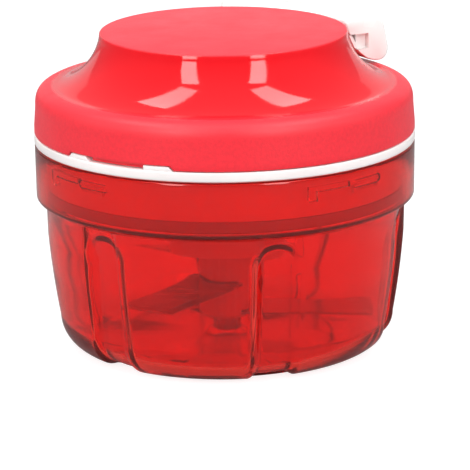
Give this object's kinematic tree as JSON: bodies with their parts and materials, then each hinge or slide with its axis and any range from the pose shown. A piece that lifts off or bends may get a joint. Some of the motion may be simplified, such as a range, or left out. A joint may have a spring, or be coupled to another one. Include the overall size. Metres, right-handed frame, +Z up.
{
  "type": "vegetable chopper",
  "caption": "Round hand chopper: a clear fluted bowl with a bladed spindle under a domed lid whose curved pull handle spins a recoil reel.",
  "frame": {"origin": "middle of the bowl's base, on the plane that it stands on", "axes": "+Z up along the spindle; -Y is the front of the pictured view; the handle is at the back right"},
  "size_m": [0.1262, 0.1262, 0.1061],
  "materials": {
    "clear_red": "clear tinted gloss",
    "red_plastic": "satin with a gloss flank",
    "white_plastic": "satin gloss",
    "handle_plastic": "gloss",
    "nylon": "matte",
    "silicone": "matte",
    "steel": "turned",
    "blade_steel": "fine brushed",
    "spring_steel": "blued"
  },
  "bodies": {
    "bowl": {"bowl": "clear_red", "pivot_pin": "steel"},
    "bush": {"pivot_bush": "nylon"},
    "blade_set": {"blade_hub": "white_plastic", "blade_low": "blade_steel", "blade_middle": "blade_steel", "blade_top": "blade_steel"},
    "lid": {"inner_lid": "white_plastic", "lid_seal": "silicone", "cover": "red_plastic", "cover_screw_1": "steel", "cover_screw_2": "steel", "cover_screw_3": "steel", "cover_screw_4": "steel", "cord_guide": "nylon", "spring_post": "steel", "reel_clip": "steel", "reel_washer": "nylon", "recoil_spring": "spring_steel", "upper_bearing": "nylon", "lower_bearing": "nylon"},
    "reel": {"cord_reel": "nylon", "spring_cap": "nylon"},
    "drive": {"drive_shaft": "nylon", "drive_socket": "white_plastic", "socket_screw": "steel"},
    "pawl_1": {"pawl_1": "steel"},
    "pawl_2": {"pawl_2": "steel"},
    "handle": {"handle_grip": "handle_plastic", "handle_insert": "handle_plastic", "handle_screw_1": "steel", "handle_screw_2": "steel"}
  },
  "joints": [
    {"name": "lid_turn", "type": "hinge", "parent": "bowl", "child": "bush", "pos_m": [0, 0, 0.0095], "axis": [0, 0, -1], "range_deg": [0, 13]},
    {"name": "lid_lift", "type": "slide", "parent": "bush", "child": "lid", "axis": [0, 0, 1], "range_m": [0, 0.085]},
    {"name": "blade_spin", "type": "hinge", "parent": "bush", "child": "blade_set", "pos_m": [0, 0, 0.012], "axis": [0, 0, 1], "range_deg": [0, 960]},
    {"name": "handle_pull", "type": "slide", "parent": "lid", "child": "handle", "axis": [0.5299, 0.848, 0], "range_m": [0, 0.3], "stiffness_N_per_m": 20},
    {"name": "reel_spin", "type": "hinge", "parent": "lid", "child": "reel", "pos_m": [0, 0, 0.0945], "axis": [0, 0, 1], "range_deg": [0, 960]},
    {"name": "drive_spin", "type": "hinge", "parent": "lid", "child": "drive", "pos_m": [0, 0, 0.06], "axis": [0, 0, 1], "range_deg": [0, 960]},
    {"name": "pawl_1_swing", "type": "hinge", "parent": "drive", "child": "pawl_1", "pos_m": [0.00772, -0.00501, 0.0823], "axis": [0, 0, -1], "range_deg": [0, 10], "stiffness_Nm_per_rad": 0.002},
    {"name": "pawl_2_swing", "type": "hinge", "parent": "drive", "child": "pawl_2", "pos_m": [-0.00772, 0.00501, 0.0823], "axis": [0, 0, -1], "range_deg": [0, 10], "stiffness_Nm_per_rad": 0.002}
  ],
  "couplings": [
    {"joint": "reel_spin", "follows": "handle_pull", "rad_per_m": 55.556},
    {"joint": "drive_spin", "follows": "handle_pull", "rad_per_m": 55.556},
    {"joint": "blade_spin", "follows": "handle_pull", "rad_per_m": 55.556}
  ]
}
